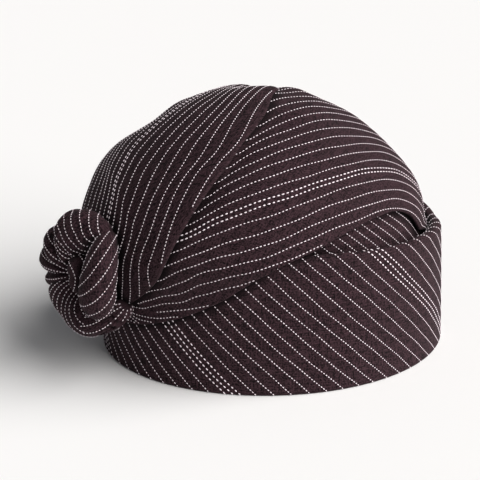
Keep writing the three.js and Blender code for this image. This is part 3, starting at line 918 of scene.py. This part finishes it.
def stitch_tree():
    tree = bpy.data.node_groups.new("Running stitches", "GeometryNodeTree")
    tree.interface.new_socket("Geometry", in_out="INPUT", socket_type="NodeSocketGeometry")
    for name in ("Pitch", "Length", "Width", "Height"):
        tree.interface.new_socket(name, in_out="INPUT", socket_type="NodeSocketFloat")
    tree.interface.new_socket("Seed", in_out="INPUT", socket_type="NodeSocketInt")
    tree.interface.new_socket("Thread", in_out="INPUT", socket_type="NodeSocketMaterial")
    tree.interface.new_socket("Geometry", in_out="OUTPUT", socket_type="NodeSocketGeometry")
    add, link = tree.nodes.new, tree.links.new
    entry, leave = add("NodeGroupInput"), add("NodeGroupOutput")
    line = add("GeometryNodeMeshToCurve")
    link(entry.outputs["Geometry"], line.inputs[0])
    spaced = add("GeometryNodeResampleCurve")
    spaced.mode = "LENGTH"
    link(line.outputs[0], spaced.inputs["Curve"])
    link(entry.outputs["Pitch"], spaced.inputs["Length"])
    heading, facing = add("GeometryNodeInputTangent"), add("GeometryNodeInputNamedAttribute")
    facing.data_type = "FLOAT_VECTOR"
    facing.inputs["Name"].default_value = "facing"
    turn = add("FunctionNodeAxesToRotation")
    turn.primary_axis, turn.secondary_axis = "X", "Z"
    link(heading.outputs[0], turn.inputs["Primary Axis"])
    link(facing.outputs[0], turn.inputs["Secondary Axis"])
    uneven = add("FunctionNodeRandomValue")
    uneven.data_type = "FLOAT"
    uneven.inputs["Min"].default_value = 0.85
    uneven.inputs["Max"].default_value = 1.12
    link(entry.outputs["Seed"], uneven.inputs["Seed"])
    longer = add("ShaderNodeMath")
    longer.operation = "MULTIPLY"
    link(entry.outputs["Length"], longer.inputs[0])
    link([out for out in uneven.outputs if out.enabled][0], longer.inputs[1])
    size = add("ShaderNodeCombineXYZ")
    link(longer.outputs[0], size.inputs[0])
    link(entry.outputs["Width"], size.inputs[1])
    link(entry.outputs["Height"], size.inputs[2])
    grain = add("GeometryNodeMeshUVSphere")
    grain.inputs["Segments"].default_value = 6
    grain.inputs["Rings"].default_value = 4
    grain.inputs["Radius"].default_value = 0.5
    rounded = add("GeometryNodeSetShadeSmooth")
    link(grain.outputs["Mesh"], rounded.inputs["Geometry"])
    sew = add("GeometryNodeInstanceOnPoints")
    link(spaced.outputs[0], sew.inputs["Points"])
    link(rounded.outputs[0], sew.inputs["Instance"])
    link(turn.outputs[0], sew.inputs["Rotation"])
    link(size.outputs[0], sew.inputs["Scale"])
    real, coloured = add("GeometryNodeRealizeInstances"), add("GeometryNodeSetMaterial")
    link(sew.outputs[0], real.inputs[0])
    link(real.outputs[0], coloured.inputs["Geometry"])
    link(entry.outputs["Thread"], coloured.inputs["Material"])
    link(coloured.outputs[0], leave.inputs[0])
    return tree


STITCHES = stitch_tree()
print("nodes of the stitch tree:", len(STITCHES.nodes))

# %% Sewing
FINE = dict(Pitch=2.05 * MM, Length=1.36 * MM, Width=0.64 * MM, Height=0.42 * MM)
LONGER = dict(FINE, Pitch=2.35 * MM, Length=1.55 * MM)
BOLD = dict(Pitch=2.9 * MM, Length=1.95 * MM, Width=0.86 * MM, Height=0.5 * MM)


def sew(name, lines, sizes, seed):
    """Stitches along lines, each a pair of point and normal arrays."""
    points = np.vstack([line for line, _ in lines]) + HAT_CENTRE
    facing = np.vstack([normal for _, normal in lines])
    edges, start = [], 0
    for line, _ in lines:
        edges += [(n, n + 1) for n in range(start, start + len(line) - 1)]
        start += len(line)
    mesh = bpy.data.meshes.new(name + "_lines")
    mesh.from_pydata(points.tolist(), edges, [])
    attribute = mesh.attributes.new("facing", "FLOAT_VECTOR", "POINT")
    attribute.data.foreach_set("vector", facing.astype(np.float32).ravel())
    guide = bpy.data.objects.new(name + "_lines", mesh)
    bpy.context.scene.collection.objects.link(guide)
    modifier = guide.modifiers.new("Stitches", "NODES")
    modifier.node_group = STITCHES
    values = dict(sizes, Seed=seed, Thread=cream_thread)
    for item in STITCHES.interface.items_tree:
        if item.in_out == "INPUT" and item.name in values:
            modifier[item.identifier] = values[item.name]
    evaluated = guide.evaluated_get(bpy.context.evaluated_depsgraph_get())
    sewn = bpy.data.meshes.new_from_object(evaluated)
    sewn.name = name
    bpy.data.objects.remove(guide)
    piece = bpy.data.objects.new(name, sewn)
    bpy.context.scene.collection.objects.link(piece)
    print(f"{name}: {len(lines)} lines, {len(sewn.polygons)} faces")
    return piece


# %% [markdown]
# ## Stripes of the drapes
# On the dome's map a stripe is a curve of side against back. The front drape's stripes climb from the knot
# over the crown, and the back drape's run from the tuck round to the far side. Each family is a first curve
# and a spacing that changes along it, and on the far side the stripes run on side by side. True lines would
# look printed, so each stripe strays a little. It is kept only where it lies on its own drape.

# %% Drape stripes
STITCH_LIFT = 0.08 * MM
STRIPE_STEP = 0.4
DRAPE_STRAY = 0.42
STRAY_WAVES = [(0.65, 8, 0.8), (0.35, 3.4, 2.4)]
GROUP_REPEAT = 17
BACK_FIRST = curve_through([
    (-104, 18), (-100, 28), (-96, 39), (-90, 49.5), (-83, 52.7), (-75, 56), (-60, 62), (-30, 65), (0, 61),
    (30, 47), (60, 25), (90, 5),
])
BACK_BELOW = curve_through([
    (-104, 3), (-96, 2.4), (-90, 2.1), (-83, 2.6), (-75, 3), (-60, 3.5), (-30, 4.4), (0, 5), (30, 5.1),
    (60, 5.3), (90, 6),
])
BACK_ABOVE = curve_through([(-90, 3), (-60, 4.5), (-30, 4.8), (0, 5.05), (30, 5.6), (60, 6.2), (90, 6.8)])
FRONT_FIRST = curve_through([
    (-90, 72.7), (-80, 74.5), (-70, 76.5), (-65, 75.5), (-60, 73.7), (-55, 71), (-50, 66.5), (-40, 54.7),
    (-30, 44), (-20, 34), (-10, 21.5), (0, 7), (10, -10),
])
FRONT_PITCH = curve_through([
    (-90, 4.7), (-80, 4.7), (-70, 5.7), (-65, 6.3), (-60, 7.1), (-50, 7.6), (-40, 6.9), (-30, 6.2),
    (-20, 5.8), (-10, 5.2), (0, 5), (10, 5),
])
FRONT_SEEN = 10
FRONT_FAR_SIDE = 25.7
FRONT_FAR_SLOPE = -0.76
FRONT_FAR_PITCH = 5.2
SPREAD_STRIPES = 6
STRIPE_SPREAD = 1.4
PLEATED_STRIPE = 7
PLEAT_BACK = -81
KINK_BACK = -10
KINK_TURN = -8
KINK_SIDE = 4.2
KINK_FADE = 0.68
KINK_LENGTH = 7
OUTER_STRIPE_SHIFT = 2.2
FRONT_LEVEL = dict(least=-92, bend=7)
FRONT_FAR_START = -90
FRONT_FAR_BLEND = 7


def front_kink(back, number):
    """A shallow crease runs slantwise from the tuck and shifts the nearest stripes sideways."""
    steps = number + 1
    far = (back - KINK_BACK - KINK_TURN * steps) / KINK_LENGTH
    shift = KINK_SIDE * KINK_FADE ** steps * np.exp(-far ** 2)
    return shift + (OUTER_STRIPE_SHIFT if number < 0 else 0)


def stray(place, number):
    """A share, from -1 to 1, by which a stripe leaves its true line, as on cloth that is laid by hand."""
    return sum(share * np.sin(place / length + turn * number) for share, length, turn in STRAY_WAVES)


def levelled(back, least, bend):
    """The value itself, bending softly to a constant below the least one."""
    return least + bend * np.logaddexp(0, (back - least) / bend)


def front_line(back, number):
    """Side of a front stripe; past the last one that the photograph shows they run on side by side."""
    seen = min(number, FRONT_SEEN)
    line = FRONT_FIRST(back) - seen * FRONT_PITCH(back) + front_kink(back, number)
    beyond = number - seen
    straight = FRONT_FAR_SIDE + FRONT_FAR_SLOPE * (levelled(back, **FRONT_LEVEL) - FRONT_FAR_START)
    line = mix(line, straight, ease(beyond, 0, FRONT_FAR_BLEND)) - beyond * FRONT_FAR_PITCH
    return line + DRAPE_STRAY * stray(back, number)


print("side of the first front stripe beside the knot:", np.round(front_line(-80, 0), 1))

# %% Stripes of each drape
EDGE_MARGIN = 0.25
FRONT_MARGIN = 0.45
UNDER_TUCK = 1.2
CORNER_MARGIN = -1.6
CORNER_STARTS = (74, 84)
STRIPE_HOOK = 2.4
HOOK_REACH = 3.5
HOOK_STARTS = (-48, -30)
HOOK_SIDE = 10
BACK_LEVEL = dict(least=-50, bend=12)
BACK_LEVEL_NUMBERS = (12, 20)
SPREAD_STARTS = (-75, -45)


def runs(keep, shortest=5):
    """Start and end of each unbroken run of True."""
    edges = np.flatnonzero(np.diff(np.r_[False, keep, False].astype(int)))
    return [(a, b) for a, b in zip(edges[::2], edges[1::2]) if b - a >= shortest]


def stripe_lines(back, side, height, on_front):
    polar = np.hypot(back, side)
    azimuth = np.degrees(np.arctan2(side, -back))
    ahead = tuck_distance(back, side)
    keep = polar < LOWER_EDGE(np.abs(azimuth)) - EDGE_MARGIN
    if on_front:
        keep &= ahead > FRONT_MARGIN
    else:
        keep &= ahead < mix(UNDER_TUCK, CORNER_MARGIN, ease(-back, *CORNER_STARTS))
    if not keep.any():
        return []
    points, normal = drape_surface(back, side, height)
    points = points + STITCH_LIFT * normal
    return [(points[a:b], normal[a:b]) for a, b in runs(keep)]


def hooked(back, side):
    """Back-drape stripes turn down where the cloth dives under the tuck."""
    near = np.exp(np.minimum(tuck_distance(back, side), 0) / HOOK_REACH) * ease(back, *HOOK_STARTS)
    return side + STRIPE_HOOK * near * np.tanh(side / HOOK_SIDE)


def back_line(back, number):
    """Side of a back stripe; on the far side they run on level to the tuck."""
    place = mix(back, levelled(back, **BACK_LEVEL), ease(-number, *BACK_LEVEL_NUMBERS))
    pitch = BACK_BELOW(place) if number > 0 else BACK_ABOVE(place)
    line = BACK_FIRST(place) + number * pitch + DRAPE_STRAY * stray(back, number)
    if 0 < number < SPREAD_STRIPES:
        line += STRIPE_SPREAD * np.sin(np.pi * number / SPREAD_STRIPES) * ease(back, *SPREAD_STARTS)
    if number == PLEATED_STRIPE:
        line = np.where(back < PLEAT_BACK, 0, line)
    return line


def back_side(back, number, shift):
    return hooked(back, back_line(back, number) + shift)


def front_side(back, number, shift):
    return front_line(back, number) + shift


# %% Sew the drape stripes
PAIR_SHIFTS = (-1.15, 1.15)


def drape_stripes(numbers, reach, side, height, on_front, first_pair):
    """Fine stripes of one drape, and bold pairs at every repeat of the cloth's pattern."""
    fine, bold = [], []
    back = np.arange(*reach, STRIPE_STEP)
    for number in numbers:
        paired = number % GROUP_REPEAT == first_pair
        for shift in PAIR_SHIFTS if paired else (0,):
            found = stripe_lines(back, side(back, number, shift), height, on_front)
            (bold if paired else fine).extend(found)
    return fine, bold


fine, bold = drape_stripes(range(11, -45, -1), (-108, 100), back_side, back_height, False, first_pair=0)
back_stitches = [sew("back_drape_stitches", fine, LONGER, 1), sew("back_drape_bold_stitches", bold, BOLD, 2)]
fine, bold = drape_stripes(range(-1, 32), (-119, 12), front_side, front_height, True, first_pair=8)
front_stitches = [sew("front_drape_stitches", fine, FINE, 3), sew("front_drape_bold_stitches", bold, BOLD, 4)]

# %% [markdown]
# ## Stripes of the cuff and the cap
# The cuff is cut on the bias, so on the unrolled band its stripes are straight lines at about 45 degrees. Arc
# length round the oval turns those lines into places on the ring. The cap's stripes run the same way.

# %% Cuff and cap stripes
oval_azimuth = np.linspace(0, 360, 1441)
oval = cuff_ring(oval_azimuth, np.zeros(1441), np.zeros(1441))
oval_length = np.r_[0, np.cumsum(np.linalg.norm(np.diff(oval, axis=0), axis=1))]
OVAL = oval_length[-1]
BIAS = 1.04
CUFF_GROUP_AT = 116.5 * MM
CUFF_GROUP_APART = 177 * MM
CUFF_SPACING = 10.4 * MM
GROUP_LINES = (-4.8 * MM, 0, 4.8 * MM)
GROUP_MARGIN = 14.5 * MM
CUFF_STRAY = 0.45 * MM
CAP_SPACING = 8.8 * MM


def bias_starts():
    """Where stripes start on the cuff's hem, and whether they belong to a bold group."""
    groups = [CUFF_GROUP_AT + n * CUFF_GROUP_APART for n in range(4)] + [CUFF_GROUP_AT + OVAL]
    for here, after in zip(groups, groups[1:]):
        for shift in GROUP_LINES:
            yield here + shift, True
        first, last = here + GROUP_MARGIN, after - GROUP_MARGIN
        for start in np.linspace(first, last, round((last - first) / CUFF_SPACING) + 1):
            yield start, False


def cuff_stripes():
    fine, bold = [], []
    width = np.arange(1.2 * MM, 115 * MM, 0.8 * MM)
    for start, grouped in bias_starts():
        slanted = start - BIAS * width + CUFF_STRAY * stray(width / MM, start / CUFF_SPACING)
        azimuth = np.interp(slanted % OVAL, oval_length, oval_azimuth)
        turned = from_front(azimuth)
        over = ease(turned, 138, 156)
        over_roll = (np.pi * mix(0.55, 1, over) - 1) * CUFF_ROLL(turned)
        full = (CUFF_TOP(turned) + over_roll) * MM + CUFF_INSIDE * over
        points = cuff_surface(azimuth, width)
        along = np.gradient(points, axis=0)
        upward = cuff_surface(azimuth, width + 0.4 * MM) - cuff_surface(azimuth, width - 0.4 * MM)
        normal = unit(np.cross(upward, along))
        for a, b in runs(width < full):
            (bold if grouped else fine).append((points[a:b] + STITCH_LIFT * normal[a:b], normal[a:b]))
    return fine, bold


def cap_stripes():
    lines = []
    height = np.arange(56, 128, 0.8) * MM
    for start in np.arange(0, OVAL, CAP_SPACING):
        azimuth = np.interp((start - BIAS * height) % OVAL, oval_length, oval_azimuth)
        turned = from_front(azimuth)
        points, normal = cap_surface(azimuth, height)
        for a, b in runs((turned > 62) & (turned < 172)):
            lines.append((points[a:b] + STITCH_LIFT * normal[a:b], normal[a:b]))
    return lines


fine, bold = cuff_stripes()
cuff_stitches = [sew("cuff_stitches", fine, FINE, 5), sew("cuff_bold_stitches", bold, BOLD, 6)]
cap_stitches = [sew("cap_stitches", cap_stripes(), FINE, 7)]

# %% [markdown]
# ## Stripes of the knot
# On the rolls that fan out from the knot's middle the stripes run round the roll, on the near roll they climb
# slantwise, and on the inner curl and the roll under the near one they follow its length. The plain root has
# none. Each is a line of ring angles and turns, so it stays on its roll. What another roll covers, or what is
# pressed far into the drape, is left out.

# %% Knot stripes
ROLL_STRIPES = {
    "near": dict(first=-75, last=110, apart=17, slant=(-0.34, -0.34)),
    "top": dict(first=40, last=126, apart=11, slant=(-0.36, -0.36)),
    "far": dict(first=115, last=228, apart=12.5, slant=(-0.3, 0.22)),
    "low": dict(first=200, last=320, apart=11.5, slant=(-0.15, -0.3)),
}
LONG_STRIPES = {"under": (-60, 150, 36), "curl": (10, 120, 50)}
SEEN_TURN = (-100, 172)
PRESSED_SEEN = 6 * MM


def uncovered(points, own):
    """Which points lie outside every other roll."""
    keep = np.ones(len(points), bool)
    trees = [tree for name, tree in roll_trees.items() if name != own]
    for n, point in enumerate(points):
        for tree in trees:
            near, normal, _, far = tree.find_nearest(Vector(point))
            if far < 25 * MM and (Vector(point) - near).dot(normal) < 0:
                keep[n] = False
    return keep


def knot_paths():
    """Stripes as a roll's name with ring angles and turns."""
    for name, row in ROLL_STRIPES.items():
        turn = np.arange(*SEEN_TURN, 2.5)
        for first in np.arange(row["first"], row["last"], row["apart"]):
            share = (first - row["first"]) / (row["last"] - row["first"])
            ring = first + mix(*row["slant"], share) * (turn - 90)
            on_roll = (ring > ROLLS[name]["start"] + 2) & (ring < ROLLS[name]["end"] - 2)
            yield name, ring[on_roll], turn[on_roll]
    share = (1 - np.cos(np.pi * np.linspace(0.1, 0.9, 60))) / 2
    for name, turns in LONG_STRIPES.items():
        ring = mix(ROLLS[name]["start"], ROLLS[name]["end"], share)
        for turn in np.arange(*turns, dtype=float):
            yield name, ring, np.full(ring.shape, turn)


def knot_stripes():
    lines = []
    for name, ring, turn in knot_paths():
        points, normal = roll_surface(ROLLS[name], ring, turn)
        points = points + STITCH_LIFT * normal
        seen = press_on_drape(points, KNOT_SEAT_GAP + STITCH_LIFT) < PRESSED_SEEN
        seen &= uncovered(points, name)
        lines += [(points[a:b], normal[a:b]) for a, b in runs(seen, 6)]
    return lines


knot_stitches = [sew("knot_stitches", knot_stripes(), FINE, 8)]

# %% [markdown]
# ## Riding on the frame
# Nothing on the hat moves, so every piece rides on the one body. Each cloth piece stands for its CAD node.

# %% Attach the pieces
SETS = [
    (cuff, "cuff_band", cuff_stitches),
    (cap, "base_cap", cap_stitches),
    (back_drape, "drape_back", back_stitches),
    (front_drape, "drape_front", front_stitches),
    (knot, "rosette_knot", knot_stitches),
]
for cloth, node, stitches in SETS:
    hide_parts(node)
    for piece in [cloth] + stitches:
        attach(piece, "root")
    print(f"{cloth.name} stands for {node}, with {len(stitches)} sets of stitches")

# %% [markdown]
# ## Floor, light and camera
# A pale floor and soft light keep the dark cloth readable. The camera stands where the photograph was taken
# from: level with the wearer's left side, a little towards the front and above.

# %% Floor and light
FLOOR_SIZE = 12
SUN_STRENGTH = 5.3
SUN_WIDTH = math.radians(72)
SUN_HEADING = Vector((-0.42, -0.72, -0.58))

bpy.ops.mesh.primitive_plane_add(size=FLOOR_SIZE)
floor = bpy.context.object
floor.name = "floor"
pale, _, floor_shader = principled("pale_floor")
floor_shader.inputs["Base Color"].default_value = (0.88, 0.88, 0.88, 1)
floor_shader.inputs["Roughness"].default_value = 0.9
floor.data.materials.append(pale)

scene = bpy.context.scene
scene.view_settings.view_transform = "Standard"
scene.world = bpy.data.worlds.new("studio")
scene.world.use_nodes = True
scene.world.node_tree.nodes["Background"].inputs["Color"].default_value = (0.96, 0.97, 1, 1)
scene.world.node_tree.nodes["Background"].inputs["Strength"].default_value = 0.16
key = bpy.data.objects.new("key", bpy.data.lights.new("key", "SUN"))
key.data.energy = SUN_STRENGTH
key.data.color = (1, 0.98, 0.96)
key.data.angle = SUN_WIDTH
key.rotation_mode = "QUATERNION"
key.rotation_quaternion = SUN_HEADING.to_track_quat("-Z", "Y")
scene.collection.objects.link(key)
print("sun's height, degrees:", round(math.degrees(math.asin(-SUN_HEADING.normalized().z)), 1))

# %% Camera
VIEW_AZIMUTH = math.radians(80)
VIEW_ELEVATION = math.radians(21.604)
VIEW_DISTANCE = 1200 * MM
VIEW_LENS = 143.54
VIEW_RIGHT = -20.815 * MM
VIEW_HEIGHT = 63.39 * MM
towards = Vector((
    math.sin(VIEW_AZIMUTH) * math.cos(VIEW_ELEVATION),
    -math.cos(VIEW_AZIMUTH) * math.cos(VIEW_ELEVATION),
    math.sin(VIEW_ELEVATION),
))
right = Vector((math.cos(VIEW_AZIMUTH), math.sin(VIEW_AZIMUTH), 0))
camera = bpy.data.objects.new("camera", bpy.data.cameras.new("camera"))
camera.data.lens = VIEW_LENS
camera.data.sensor_width = 36
aim = Vector(HAT_CENTRE) + right * VIEW_RIGHT + Vector((0, 0, VIEW_HEIGHT))
camera.location = aim + towards * VIEW_DISTANCE
camera.rotation_mode = "QUATERNION"
camera.rotation_quaternion = (-towards).to_track_quat("-Z", "Y")
scene.collection.objects.link(camera)
scene.camera = camera
print("camera at, mm:", *(round(value / MM) for value in camera.location))
